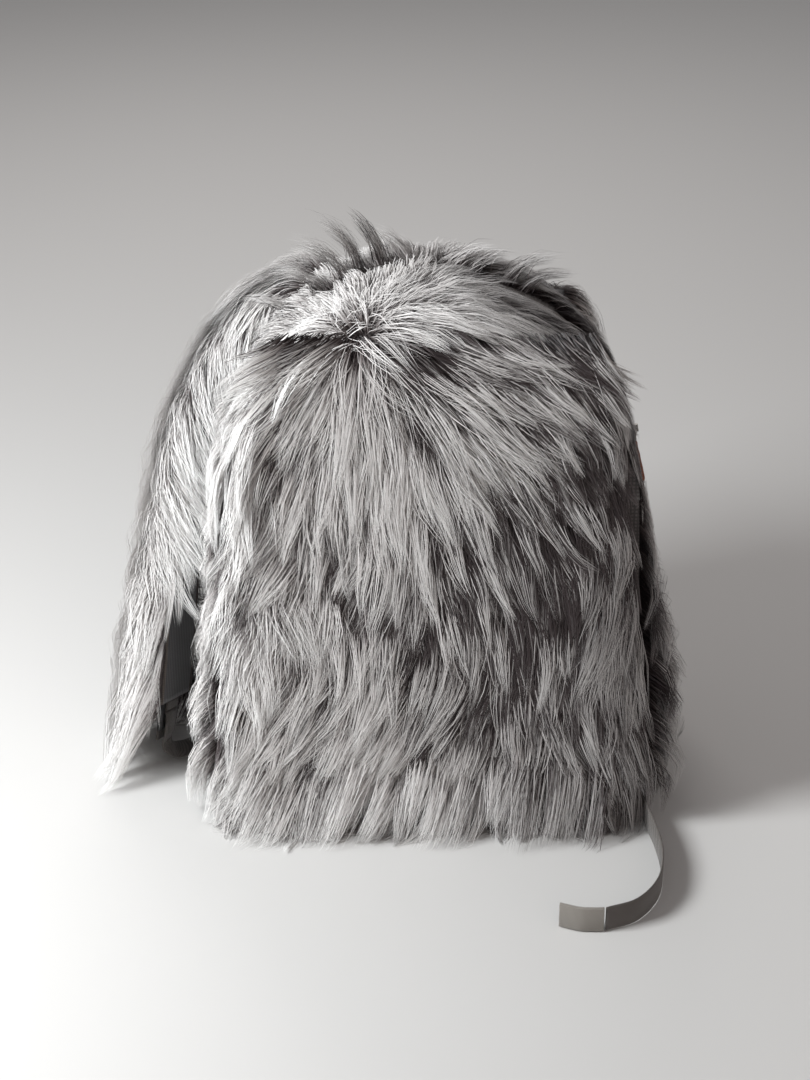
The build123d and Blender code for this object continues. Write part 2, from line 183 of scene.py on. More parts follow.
def grain_material(name, dark, light, scale=300.0, rough=0.5, metallic=0.0, bump=0.2):
    """Moulded, metal or leather surface with fine grain."""
    material, tree, shader = new_material(name)
    coords = add(tree, "TexCoord")
    noise = add(tree, "TexNoise", Scale=scale, Detail=8)
    tree.links.new(coords.outputs["Object"], noise.inputs["Vector"])
    ramp = ramp_node(tree, [(0.3, dark), (0.7, light)])
    finish_cloth(tree, shader, ramp, noise.outputs["Fac"], noise.outputs["Fac"], bump, 0.0005)
    shader.inputs["Roughness"].default_value = rough
    shader.inputs["Metallic"].default_value = metallic
    return material


fur = fur_material("frosted_fur")
nylon = weave_material("grey_nylon", (0.030, 0.029, 0.031), (0.085, 0.083, 0.088), scale=1400)
taupe = weave_material("taupe_nylon", (0.060, 0.048, 0.042), (0.150, 0.125, 0.110), scale=1200)
lining = weave_material("lining_cloth", (0.10, 0.092, 0.088), (0.20, 0.19, 0.18), scale=1800, rough=0.6)
knit = weave_material("fur_backing_knit", (0.035, 0.030, 0.030), (0.10, 0.09, 0.088), scale=700)
webbing = weave_material(
    "ribbed_webbing", (0.050, 0.043, 0.039), (0.145, 0.125, 0.112), scale=2600, bump=0.6,
)
webbing_light = weave_material(
    "folded_webbing", (0.16, 0.145, 0.13), (0.36, 0.335, 0.30), scale=2600, bump=0.6,
)
tape_cloth = weave_material("zip_tape_cloth", (0.070, 0.058, 0.052), (0.165, 0.142, 0.128), scale=2000)
coil = grain_material("zip_coil_nylon", (0.025, 0.022, 0.020), (0.060, 0.053, 0.050), rough=0.4)
metal = grain_material(
    "dark_nickel", (0.20, 0.19, 0.18), (0.42, 0.40, 0.38), scale=700, rough=0.32, metallic=1.0,
)
leather = grain_material(
    "red_brown_leather", (0.16, 0.045, 0.022), (0.34, 0.105, 0.052), scale=900, rough=0.55, bump=0.5,
)
acetal = grain_material("black_acetal", (0.012, 0.012, 0.013), (0.030, 0.030, 0.032), scale=1500, rough=0.45)
board = grain_material("base_board_sheet", (0.02, 0.02, 0.02), (0.05, 0.048, 0.045), scale=500, rough=0.6)
thread = grain_material("sewing_thread", (0.10, 0.092, 0.088), (0.22, 0.205, 0.195), scale=900, rough=0.7)
mesh_cloth = weave_material(
    "padded_nylon", (0.022, 0.021, 0.023), (0.080, 0.077, 0.082), scale=1000, bump=0.5,
)
foam = grain_material(
    "open_cell_foam", (0.45, 0.44, 0.40), (0.68, 0.66, 0.60), scale=1500, rough=0.95, bump=0.8,
)

slot_material = {
    "fur_backing": knit,
    "nylon": nylon,
    "taupe_nylon": taupe,
    "lining": lining,
    "foam": foam,
    "board": board,
    "webbing": webbing,
    "webbing_light": webbing_light,
    "zip_tape": tape_cloth,
    "zip_coil": coil,
    "metal": metal,
    "leather": leather,
    "buckle": acetal,
}
for entry in record["subparts"]:
    node = frame["nodes"][entry["node"]]
    material = slot_material.get(entry["material_slot"], fur)
    node.data.materials.clear()
    node.data.materials.append(material)


# ================= helpers =================
def unit(v):
    return v / np.maximum(np.linalg.norm(v, axis=-1, keepdims=True), 1e-12)


def sines(seed, count, scale):
    """A smooth random field over space, about -1 to 1, as a function of points."""
    local = np.random.default_rng(seed)
    k = local.normal(size=(count, 3)) * scale
    phase = local.uniform(0, 2 * math.pi, count)

    def field(p):
        return np.sin(p @ k.T + phase).sum(1) / math.sqrt(count)

    return field


def mesh_object(name, verts, quads, tris=None, material=None, smooth=True, uv=None):
    """Mesh from arrays; uv is one (u, v) per vertex and goes on the OFBake layer."""
    tris = np.zeros((0, 3), int) if tris is None else tris
    mesh = bpy.data.meshes.new(name)
    mesh.vertices.add(len(verts))
    mesh.vertices.foreach_set("co", np.asarray(verts, np.float32).ravel())
    loops = np.concatenate([quads.ravel(), tris.ravel()]).astype(np.int32)
    starts = np.concatenate([
        np.arange(len(quads)) * 4,
        len(quads) * 4 + np.arange(len(tris)) * 3,
    ]).astype(np.int32)
    mesh.loops.add(len(loops))
    mesh.loops.foreach_set("vertex_index", loops)
    mesh.polygons.add(len(starts))
    mesh.polygons.foreach_set("loop_start", starts)
    if uv is not None:
        layer = mesh.uv_layers.new(name="OFBake")
        layer.data.foreach_set("uv", np.asarray(uv, np.float32)[loops].ravel())
    mesh.update(calc_edges=True)
    mesh.polygons.foreach_set("use_smooth", np.full(len(starts), smooth))
    if material:
        mesh.materials.append(material)
    made = bpy.data.objects.new(name, mesh)
    bpy.context.collection.objects.link(made)
    return made


# ================= the shell =================
def outline_table():
    """Points and outward normals round the shell, from low left over the dome to low right."""
    run = math.hypot(CORNER_X, TOP_Z - CORNER_Z)
    spread = (TOP_R - CORNER_R) / run
    lean = CORNER_X / run
    rise = (TOP_Z - CORNER_Z) / run
    nx = lean * spread + rise * math.sqrt(1 - spread**2)
    nz = -rise * spread + lean * math.sqrt(1 - spread**2)
    tangent_angle = math.atan2(nx, nz)
    rows = []
    for a in np.linspace(tangent_angle, 0, 120):
        rows.append((TOP_R * math.sin(a), TOP_Z + TOP_R * math.cos(a), math.sin(a), math.cos(a)))
    rows.reverse()
    low = (CORNER_X + CORNER_R * nx, CORNER_Z + CORNER_R * nz)
    high = (TOP_R * nx, TOP_Z + TOP_R * nz)
    for t in np.linspace(0, 1, 60)[1:]:
        rows.append((high[0] + (low[0] - high[0]) * t, high[1] + (low[1] - high[1]) * t, nx, nz))
    for a in np.linspace(tangent_angle, math.pi * 0.93, 40)[1:]:
        sine, cosine = math.sin(a), math.cos(a)
        rows.append((CORNER_X + CORNER_R * sine, CORNER_Z + CORNER_R * cosine, sine, cosine))
    right = np.array(rows)
    left = right[1:][::-1] * np.array([-1, 1, -1, 1])
    table = np.vstack([left, right])
    steps = np.hypot(*np.diff(table[:, :2], axis=0).T)
    return table, np.concatenate([[0], np.cumsum(steps)])


OUTLINE, OUTLINE_S = outline_table()
OUTLINE_LENGTH = OUTLINE_S[-1]


def on_outline(s):
    """x, z, nx, nz at distances s along the outline."""
    return [np.interp(s, OUTLINE_S, OUTLINE[:, i]) for i in range(4)]


def inside_distance(x, z):
    """How far inside the outline a point is (negative outside), and the outward direction."""
    ax = np.abs(x)
    run = math.hypot(CORNER_X, TOP_Z - CORNER_Z)
    t = np.clip(((ax * CORNER_X) + (TOP_Z - z) * (TOP_Z - CORNER_Z)) / run**2, 0, 1)
    cx = CORNER_X * t
    cz = TOP_Z + (CORNER_Z - TOP_Z) * t
    radius = TOP_R + (CORNER_R - TOP_R) * t
    away = np.hypot(ax - cx, z - cz)
    side = radius - away
    # The lower edge is flat between the corners.
    flat = z - (CORNER_Z - CORNER_R)
    between = ax < CORNER_X
    depth = np.where(between & (flat < side), flat, side)
    depth = np.where(between, np.minimum(flat, np.maximum(side, 0.045 - 0 * z)), side)
    outx = np.sign(x) * (ax - cx) / np.maximum(away, 1e-9)
    outz = (z - cz) / np.maximum(away, 1e-9)
    low = between & (flat < 0.045) & (z < CORNER_Z)
    outx = np.where(low, 0.0, outx)
    outz = np.where(low, -1.0, outz)
    return depth, outx, outz


# ================= fur =================
patch_field = sines(3, 24, 34.0)
fine_field = sines(4, 40, 120.0)
swirl_field = sines(5, 24, 26.0)
swirl_small = sines(6, 32, 75.0)

# Darker and lighter areas of the frosting: centre x, z, radius, change of tone. The lighter areas are
# painted highlights; the darker ones mix the fur's own dark patches with painted shade, most of it on the
# right.
FRONT_TONE_AND_PAINTED_LIGHT = [
    (0.030, 0.160, 0.045, -0.18),
    (-0.055, 0.202, 0.042, -0.42),
    (0.072, 0.222, 0.045, -0.24),
    (0.060, 0.270, 0.045, -0.32),
    (0.000, 0.252, 0.030, -0.14),
    (0.118, 0.330, 0.050, -0.28),
    (0.010, 0.345, 0.022, -0.24),
    (-0.012, 0.385, 0.018, -0.40),
    (-0.105, 0.335, 0.022, -0.32),
    (0.000, 0.318, 0.026, 0.24),
    (-0.105, 0.290, 0.040, 0.26),
    (-0.110, 0.195, 0.028, 0.12),
]
# Painted highlight on the left of the dome's top, and darker tone with painted shade on its right; same
# columns.
TOP_TONE_AND_PAINTED_LIGHT = [(-0.070, 0.395, 0.050, 0.30), (0.080, 0.370, 0.050, -0.12)]


def tone_and_painted_shade_at(p, patches):
    # Random patchy tone of the fur, made lower with x: painted shade for the light falling off towards the
    # right.
    tone = 0.44 + 0.13 * patch_field(p) + 0.11 * fine_field(p) - 0.80 * np.clip(p[:, 0], -0.12, 0.14)
    # Patches of painted highlight, and of darker tone with painted shade.
    for x, z, radius, change in patches:
        d2 = (p[:, 0] - x) ** 2 + (p[:, 2] - z) ** 2
        tone = tone + change * np.exp(-d2 / radius**2)
    return tone


def strand_tone(base, clump, painted_shade_factor=1.0, spread=0.26, own=0.13):
    """Two kinds of hair, dark and frosted, mixed by lock; the dimming factor tones down the frosting as
    painted shade, darker to the right.
    """
    tone = base + rng.normal(0, spread, clump.max() + 1)[clump] + rng.normal(0, own, len(base))
    t = np.clip((tone - 0.24) / 0.52, 0, 1)
    return t * t * (3 - 2 * t) * painted_shade_factor


def painted_right_shade_at(p):
    """Painted shade: the frosting is made duller towards the right side, where the light falls off."""
    return 1 - 0.38 * np.clip((p[:, 0] + 0.05) / 0.17, 0, 1)


def zip_end_flat(x, z):
    """How flat the pile lies round the zip's right end, from 0 to 1."""
    return np.exp(-(((z - 0.292) / 0.046) ** 2)) * np.clip((x - 0.085) / 0.040, 0, 1)


def right_shoulder(p):
    """How near a root is to the right shoulder, where the pile is shorter, from 0 to 1."""
    return np.exp(-(((p[:, 2] - 0.330) / 0.055) ** 2)) * np.clip((p[:, 0] - 0.045) / 0.050, 0, 1)


def sized(length, height, tone):
    """Dark undercoat is shorter and lies lower than the frosted guard hair."""
    return length * (0.74 + 0.30 * tone), height * (0.74 + 0.30 * tone)


def flow_at(p, n):
    """Direction that the pile lies in: away from the whorl, then down."""
    away = p - WHORL
    r = np.linalg.norm(away, axis=1, keepdims=True)
    pull = np.exp(-((r / 0.120) ** 2))
    d = unit(away) * (0.35 + 1.7 * pull) + np.array([0, 0, -1.0]) * (1.25 - 1.1 * pull)
    # Right of the whorl the pile is swept across before it falls.
    over = np.clip((p[:, 2] - 0.25) / 0.10, 0, 1) * np.clip((p[:, 0] + 0.02) / 0.06, 0, 1)
    over *= np.clip((0.135 - p[:, 0]) / 0.065, 0.1, 1)
    d[:, 0] += 0.95 * over
    d[:, 0] += 0.42 * swirl_field(p) * (1 - 0.6 * pull[:, 0])
    d[:, 0] += 0.34 * swirl_small(p)
    d[:, 2] += 0.20 * swirl_small(p + 0.31)
    # Low on the left the pile is swept down and to the left.
    sweep = np.clip((0.185 - p[:, 2]) / 0.10, 0, 1) * np.clip((0.085 - p[:, 0]) / 0.10, 0, 1)
    d[:, 0] -= 1.05 * sweep
    # A ruffled patch, half way up on the left.
    ruffle = np.exp(-(((p[:, 0] + 0.105) / 0.035) ** 2 + ((p[:, 2] - 0.200) / 0.028) ** 2))
    d[:, 0] += 1.5 * ruffle * np.sin(p[:, 2] * 260)
    d[:, 2] += 0.9 * ruffle
    # Along the dome's front edge the pile is combed forward, over the edge.
    edge = np.clip(1 - (p[:, 1] - FRONT_Y) / 0.045, 0, 1) * np.clip((p[:, 2] - 0.26) / 0.08, 0, 1)
    d[:, 1] -= 0.85 * edge * np.clip(r[:, 0] / 0.045, 0, 1)
    d -= n * (d * n).sum(1, keepdims=True)
    return unit(d)


RINGS = np.array([0.0, 0.16, 0.36, 0.58, 0.80, 1.0])


def strand_mesh(name, root, normal, flow, clump, length, height, tone, width=0.00058,
                floor=0.0012, droop=0.16, pull=0.86, curl=1.0):
    """Tapered strands as one mesh. clump is each strand's clump number; strands share its tip."""
    n = len(root)
    count = clump.max() + 1
    local = np.random.default_rng(len(name) * 101 + n)

    def mean(values):
        total = np.zeros((count, 3))
        for i in range(3):
            total[:, i] = np.bincount(clump, values[:, i], minlength=count)
        return total / np.maximum(np.bincount(clump, minlength=count), 1)[:, None]

    clump_root = mean(root)
    clump_normal = unit(mean(normal))
    clump_flow = unit(mean(flow))
    clump_side = unit(np.cross(clump_normal, clump_flow))
    members = np.bincount(clump, minlength=count)
    clump_length = np.bincount(clump, length, minlength=count) / np.maximum(members, 1)
    clump_height = np.bincount(clump, height, minlength=count) / np.maximum(members, 1)
    phase = local.uniform(0, 2 * math.pi, count)
    bend = local.normal(0, 0.13 * curl, count)
    turns = local.uniform(0.5, 1.2, count)
    own_bend = local.normal(0, 0.05, n)
    own_phase = local.uniform(0, 2 * math.pi, n)
    side = np.cross(normal, flow)
    down = np.array([0, 0, -1.0])
    rings = []
    for s in RINGS:
        rise = math.sin(min(1.0, s * 1.55 + 0.02) * math.pi / 2)
        wave = 0.055 * curl * s * np.sin(turns * 6.28 * s + phase)
        guide = (
            clump_root
            + clump_normal * (clump_height * rise * (1 - 0.18 * s * s))[:, None]
            + clump_flow * (clump_length * s**1.35)[:, None]
            + clump_side * (clump_length * (bend * s**1.6 + wave))[:, None]
            + down * (clump_length * droop * s**2.2)[:, None]
        )
        own = (
            root
            + normal * (height * rise * (1 - 0.18 * s * s))[:, None]
            + flow * (length * s**1.35)[:, None]
            + side * (length * (own_bend * s**1.4 + 0.014 * s * np.sin(5.0 * s + own_phase)))[:, None]
            + down * (length * droop * s**2.2)[:, None]
        )
        weight = pull * s**1.1
        point = own * (1 - weight) + guide[clump] * weight
        low = point[:, 2] < floor
        point[low, 2] = floor + (floor - point[low, 2]) * 0.03
        rings.append(point)
    rings = np.stack(rings, 1)
    tangent = np.gradient(rings, axis=1)
    across = unit(np.cross(tangent, normal[:, None, :]) + local.normal(0, 0.00045, (n, 1, 3)) * 2)
    taper = np.array([1.0, 1.0, 0.92, 0.74, 0.46])
    half = (width / 2) * local.uniform(0.7, 1.3, n)[:, None, None] * taper[None, :, None]
    left = rings[:, :5] - across[:, :5] * half
    right = rings[:, :5] + across[:, :5] * half
    verts = np.concatenate([np.stack([left, right], 2).reshape(n, 10, 3), rings[:, 5:6]], 1)
    base = (np.arange(n) * STRAND_VERTS)[:, None]
    quad = np.array([[2 * i, 2 * i + 1, 2 * i + 3, 2 * i + 2] for i in range(4)]).ravel()
    quads = (base + quad[None]).reshape(-1, 4)
    tris = base + np.array([[8, 9, 10]])
    u = np.clip(tone, 0.01, 0.99)
    v = np.array([0.0, 0.0, 0.16, 0.16, 0.36, 0.36, 0.58, 0.58, 0.80, 0.80, 0.99])
    v = np.clip(v[None] * local.uniform(0.88, 1.12, n)[:, None], 0.01, 0.99)
    uv = np.stack([np.repeat(u[:, None], STRAND_VERTS, 1), v], 2).reshape(-1, 2)
    return verts.reshape(-1, 3), quads, tris, uv


def lock_size(clump, low, high):
    """One random size for each lock, handed to its strands."""
    return rng.uniform(low, high, clump.max() + 1)[clump]


def scatter(count, per, spread, sample):
    """Roots in clumps: sample(k) gives k clump centres in a 2D parameter space, in metres."""
    clumps = count // per
    centre = sample(clumps)
    number = np.repeat(np.arange(len(centre)), per)
    place = centre[number] + rng.normal(0, spread, (len(number), 2))
    return place, number


def front_sample(z0, z1):
    def sample(k):
        found = []
        while sum(map(len, found)) < k:
            p = np.stack([rng.uniform(-0.155, 0.155, k), rng.uniform(z0, z1, k)], 1)
            depth, _, _ = inside_distance(p[:, 0], p[:, 1])
            found.append(p[depth > 0.001])
        return np.concatenate(found)[:k]
    return sample


def build_front(name, z0, z1, count):
    place, clump = scatter(count, CLUMP, 0.0052, front_sample(z0, z1))
    depth, outx, outz = inside_distance(place[:, 0], place[:, 1])
    keep = (depth > 0) & (place[:, 1] >= z0) & (place[:, 1] < z1)
    place, clump, depth, outx, outz = place[keep], clump[keep], depth[keep], outx[keep], outz[keep]
    root = np.stack([place[:, 0], np.full(len(place), FRONT_Y), place[:, 1]], 1)
    tilt = np.clip(1 - depth / 0.040, 0, 1) ** 1.5 * 0.72
    tilt *= 1 - 0.65 * zip_end_flat(place[:, 0], place[:, 1])
    normal = unit(np.stack([outx * tilt, -(1 - tilt * 0.55), outz * tilt], 1))
    flow = flow_at(root, normal)
    tone = strand_tone(tone_and_painted_shade_at(root, FRONT_TONE_AND_PAINTED_LIGHT), clump, painted_right_shade_at(root))
    low = np.clip((0.060 - root[:, 2]) / 0.050, 0, 1)
    flow[:, 1] -= low * lock_size(clump, 0.0, 1.1)
    flow = unit(flow)
    length = 0.058 * rng.uniform(0.62, 1.22, len(root)) * lock_size(clump, 0.85, 1.2)
    full = 1 + 0.25 * low + 0.30 * np.clip((0.050 - depth) / 0.050, 0, 1) * (root[:, 2] > 0.30)
    full *= 1 - 0.60 * zip_end_flat(root[:, 0], root[:, 2])
    length *= 1 - 0.34 * right_shoulder(root)
    height = 0.0225 * full * rng.uniform(0.55, 1.12, len(root)) * lock_size(clump, 0.7, 1.15)
    length, height = sized(length, height, tone)
    return strand_mesh(name, root, normal, flow, clump, length, height, tone)


def gusset_sample(s_range, y_range):
    def sample(k):
        return np.stack([rng.uniform(*s_range, k), rng.uniform(*y_range, k)], 1)
    return sample


def build_gusset(name, s_range, y_range, count, keep_rule, patches=(), lift=1.0, reach=1.0):
    place, clump = scatter(count, CLUMP, 0.0052, gusset_sample(s_range, y_range))
    place[:, 1] = np.clip(place[:, 1], y_range[0] + 0.0005, y_range[1] - 0.0005)
    x, z, nx, nz = on_outline(np.clip(place[:, 0], 0, OUTLINE_LENGTH))
    y = place[:, 1]
    keep = keep_rule(x, y, z)
    x, y, z, nx, nz, clump = (a[keep] for a in (x, y, z, nx, nz, clump))
    root = np.stack([x, y, z], 1)
    front = np.clip(1 - (y - FRONT_Y) / 0.035, 0, 1) * 0.62
    normal = unit(np.stack([nx * (1 - front * 0.4), -front, nz * (1 - front * 0.4)], 1))
    flow = flow_at(root, normal)
    tone = strand_tone(tone_and_painted_shade_at(root, list(patches)), clump, painted_right_shade_at(root))
    # Fuller low on the sides, flatter over the right shoulder.
    low = np.clip((0.215 - z) / 0.09, 0, 1) * np.clip((z - 0.01) / 0.05, 0, 1)
    full = 1 + np.where(x > 0, 0.80, 0.42) * low
    full *= 1 - 0.78 * zip_end_flat(x, z)
    full *= 1 - 0.45 * np.clip((z - 0.31) / 0.05, 0, 1) * np.clip((x + 0.01) / 0.05, 0, 1)
    length = reach * 0.048 * rng.uniform(0.65, 1.22, len(root)) * lock_size(clump, 0.8, 1.2)
    length *= 1 - 0.34 * right_shoulder(root)
    height = lift * 0.0225 * full * rng.uniform(0.55, 1.15, len(root)) * lock_size(clump, 0.7, 1.2)
    length, height = sized(length, height, tone)
    return strand_mesh(name, root, normal, flow, clump, length, height, tone)


def tuft_strands(name, tufts, per):
    """Long loose locks that stand out of the pile: root, direction, normal, length and lift."""
    per = many(per)
    count = len(tufts)
    clump = np.repeat(np.arange(count), per)
    root = np.repeat(np.array([t[0] for t in tufts], float), per, 0)
    flow = np.repeat(unit(np.array([t[1] for t in tufts], float)), per, 0)
    normal = np.repeat(unit(np.array([t[2] for t in tufts], float)), per, 0)
    side = unit(np.cross(normal, flow))
    up = np.cross(flow, side)
    root = root + side * rng.normal(0, 0.0068, (len(root), 1)) + flow * rng.normal(0, 0.0070, (len(root), 1))
    flow = unit(flow + side * rng.normal(0, 0.13, (len(root), 1)) + up * rng.normal(0, 0.08, (len(root), 1)))
    length = np.repeat([t[3] for t in tufts], per) * rng.uniform(0.45, 1.1, len(root))
    height = np.repeat([t[4] for t in tufts], per) * rng.uniform(0.5, 1.1, len(root))
    tone = strand_tone(tone_and_painted_shade_at(root, ()) + 0.22, clump, painted_right_shade_at(root), 0.10, 0.20)
    return strand_mesh(name, root, normal, flow, clump, length, height, tone, pull=0.60, curl=0.6)


def fold_s():
    """Outline distances at which the fold height is crossed, left then right."""
    s = np.linspace(0, OUTLINE_LENGTH, 4000)
    z = on_outline(s)[1]
    above = s[z > FOLD.z]
    return above[0], above[-1]


S_LEFT, S_RIGHT = fold_s()
DENSITY = 1.0


def many(count):
    return int(count * DENSITY)


def finish_fur(name, made, body, node, blend_to=None, pieces=1):
    """One or more meshes of strands in the place of a node of fur."""
    verts, quads, tris, uv = made
    count = len(tris)
    bounds = np.linspace(0, count, pieces + 1).astype(int)
    for number, (a, b) in enumerate(zip(bounds, bounds[1:])):
        ending = f"_{number + 1}" if pieces > 1 else ""
        own = slice(a * STRAND_VERTS, b * STRAND_VERTS)
        piece = mesh_object(
            name + ending,
            verts[own],
            quads[a * STRAND_QUADS:b * STRAND_QUADS] - own.start,
            tris[a:b] - own.start,
            fur,
            uv=uv[own],
        )
        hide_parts(node)
        if blend_to:
            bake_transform(piece)
        else:
            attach(piece, body)


fold_blend = (
    "bag",
    "front_flap",
    (0, FOLD.y, FOLD.z - 0.020),
    (0, FOLD.y, FOLD.z + 0.014),
)

low = build_front("fur_low", CORNER_Z - CORNER_R, FOLD.z, many(42000))
finish_fur("fur_front_lower_strands", low, "bag", "fur_front_lower", pieces=2)
low_tufts = [
    (
        (x + rng.uniform(-0.006, 0.006), FRONT_Y, rng.uniform(0.040, 0.062)),
        (-0.52 + 1.6 * (x + 0.130), -0.42, -0.80),
        (0.0, -0.95, 0.30),
        rng.uniform(0.052, 0.082),
        0.025,
    )
    for x in np.linspace(-0.128, 0.124, 17)
]
finish_fur("fur_low_tufts", tuft_strands("lowtufts", low_tufts, 75), "bag", "fur_front_lower")
high = build_front("fur_high", FOLD.z, TOP_Z + TOP_R, many(16000))
finish_fur("fur_front_upper_strands", high, None, "fur_front_upper", fold_blend)


def open_side(x, y, z):
    zip_end = (z > 0.262) & (y > TAPE_LO - 0.002) & (y < TAPE_HI + 0.002)
    puller = (x > 0) & (z > 0.226) & (z < 0.266) & (abs(y - ZIP_Y) < 0.009)
    return (z < FOLD.z) & ~zip_end & ~puller


side_range = (FRONT_Y, FUR_BACK_Y)
finish_fur(
    "fur_side_left_strands",
    build_gusset("left", (0, S_LEFT), side_range, many(13000), open_side),
    "bag", "fur_side_left",
)
finish_fur(
    "fur_side_right_strands",
    build_gusset("right", (S_RIGHT, OUTLINE_LENGTH), side_range, many(13000), open_side),
    "bag", "fur_side_right",
)


def above_fold(x, y, z):
    return z > FOLD.z


finish_fur(
    "fur_top_front_strands",
    build_gusset("topfront", (S_LEFT, S_RIGHT), (FRONT_Y, TAPE_LO), many(18000), above_fold, TOP_TONE_AND_PAINTED_LIGHT),
    None, "fur_top_front", fold_blend,
)


def fold_cloth(name, inset, material):
    """Strip of cloth across the flap's fold, round the front and along both sides to the zip."""
    turning = np.linspace(-0.0065, 0.0065, 12)
    levels = FOLD.z + np.array([-FOLD_HALF_WIDTH, -0.012, *turning, 0.012, FOLD_HALF_WIDTH])
    rise = len(OUTLINE) // 2
    x, _, nx, _ = on_outline(np.interp(levels, OUTLINE[:rise, 1], OUTLINE_S[:rise]))

    def face(depth):
        reach = np.abs(x) - depth * np.abs(nx)
        y = np.linspace(TAPE_LO - 0.001, FRONT_Y + depth, 14)
        across = np.linspace(-1, 1, 30)[1:-1]
        u = np.concatenate([np.full(14, -1), across, np.full(14, 1)])
        depths = np.concatenate([y, np.full(28, FRONT_Y + depth), y[::-1]])
        return np.stack([
            reach[:, None] * u,
            np.broadcast_to(depths, (len(levels), len(u))),
            np.broadcast_to(levels[:, None], (len(levels), len(u))),
        ], 2)

    rows = np.concatenate([face(inset), face(inset + FOLD_CLOTH)[::-1]])
    around, count = rows.shape[:2]
    i = np.arange(around)[:, None]
    j = np.arange(count - 1)[None]
    here, after = i * count + j, (i + 1) % around * count + j
    quads = np.stack([here, here + 1, after + 1, after], 2).reshape(-1, 4)
    lower = np.arange(around // 2 - 1)
    ends = [
        np.stack([lower, lower + 1, around - 2 - lower, around - 1 - lower], 1) * count + last
        for last in (0, count - 1)
    ]
    ends[1] = ends[1][:, ::-1]
    strip = mesh_object(name, rows.reshape(-1, 3), np.vstack([quads, *ends]), None, material)
    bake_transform(strip)


fold_cloth("fold_lining", 0.0034, lining)
fold_cloth("fold_backing", -0.0009, knit)
UP = (0.0, 0.0, 1.0)
high_tufts = [
    ((x, y, TOP_Z + math.sqrt(TOP_R**2 - x**2)), flow, UP, length, lift)
    for x, y, flow, length, lift in (
        (-0.098, 0.040, (-0.90, 0.10, 0.28), 0.046, 0.016),
        (-0.078, 0.044, (-0.88, 0.10, 0.40), 0.052, 0.020),
        (-0.060, 0.040, (-0.75, 0.10, 0.50), 0.056, 0.023),
        (-0.050, 0.046, (-0.55, 0.10, 0.58), 0.058, 0.025),
        (-0.034, 0.042, (-0.42, 0.10, 0.55), 0.054, 0.023),
        (-0.016, 0.044, (-0.40, 0.15, 0.30), 0.044, 0.016),
        (0.006, 0.044, (0.50, 0.15, 0.20), 0.042, 0.013),
        (0.022, 0.042, (0.75, 0.15, 0.20), 0.044, 0.013),
        (0.050, 0.044, (0.90, 0.15, 0.34), 0.050, 0.015),
        (0.062, 0.042, (0.92, 0.10, 0.20), 0.046, 0.012),
    )
]
finish_fur("fur_high_tufts", tuft_strands("hightufts", high_tufts, 90), "bag", "fur_top_rear")
top_rear = build_gusset(
    "toprear", (S_LEFT, S_RIGHT), (TAPE_HI, FUR_BACK_Y), many(9000), above_fold, TOP_TONE_AND_PAINTED_LIGHT,
    lift=0.75, reach=0.95,
)
finish_fur("fur_top_rear_strands", top_rear, "bag", "fur_top_rear")


# ================= straps and webbing =================
def route(points, across, count):
    """A smooth path through the points: places, tangents, directions across and outward normals."""
    points = np.array(points, float)
    across = unit(np.array(across, float))
    steps = np.linalg.norm(np.diff(points, axis=0), axis=1) ** 0.5
    knots = np.concatenate([[0], np.cumsum(steps)])
    tangents = np.gradient(points, knots, axis=0)
    t = np.linspace(0, knots[-1], count)
    i = np.clip(np.searchsorted(knots, t, side="right") - 1, 0, len(points) - 2)
    h = (knots[i + 1] - knots[i])[:, None]
    f = ((t - knots[i])[:, None]) / h
    place = (
        (2 * f**3 - 3 * f**2 + 1) * points[i]
        + (f**3 - 2 * f**2 + f) * h * tangents[i]
        + (3 * f**2 - 2 * f**3) * points[i + 1]
        + (f**3 - f**2) * h * tangents[i + 1]
    )
    blend = 3 * f**2 - 2 * f**3
    wide = across[i] * (1 - blend) + across[i + 1] * blend
    tangent = unit(np.gradient(place, axis=0))
    wide = unit(wide - tangent * (wide * tangent).sum(1, keepdims=True))
    return place, tangent, wide, unit(np.cross(tangent, wide))


def sweep(name, path, section, material, change=None, scale=None):
    """Closed band: the section's (across, outward) points carried along the path.

    scale is the section's width at each place; change moves the finished points."""
    place, _, wide, out = path
    section = np.array(section, float)
    count, around = len(place), len(section)
    scale = np.ones(count) if scale is None else scale
    verts = (
        place[:, None]
        + wide[:, None] * (section[None, :, :1] * scale[:, None, None])
        + out[:, None] * section[None, :, 1:]
    )
    if change is not None:
        verts = change(verts)
    verts = verts.reshape(-1, 3)
    i = np.arange(count - 1)[:, None] * around
    j = np.arange(around)[None]
    k = (j + 1) % around
    quads = np.stack([i + j, i + k, i + around + k, i + around + j], 2).reshape(-1, 4)
    first = [[0, b + 1, b] for b in range(1, around - 1)]
    last = [[(count - 1) * around + c for c in (0, b, b + 1)] for b in range(1, around - 1)]
    return mesh_object(name, verts, quads, np.array(first + last), material)


def rounded_section(width, low, high, radius, per=5):
    """Rounded rectangle as (across, outward) points."""
    points = []
    for cx, cy, start in (
        (width / 2 - radius, high - radius, 0),
        (-width / 2 + radius, high - radius, 90),
        (-width / 2 + radius, low + radius, 180),
        (width / 2 - radius, low + radius, 270),
    ):
        for a in np.radians(np.linspace(start, start + 90, per)):
            points.append((cx + radius * math.cos(a), cy + radius * math.sin(a)))
    return points


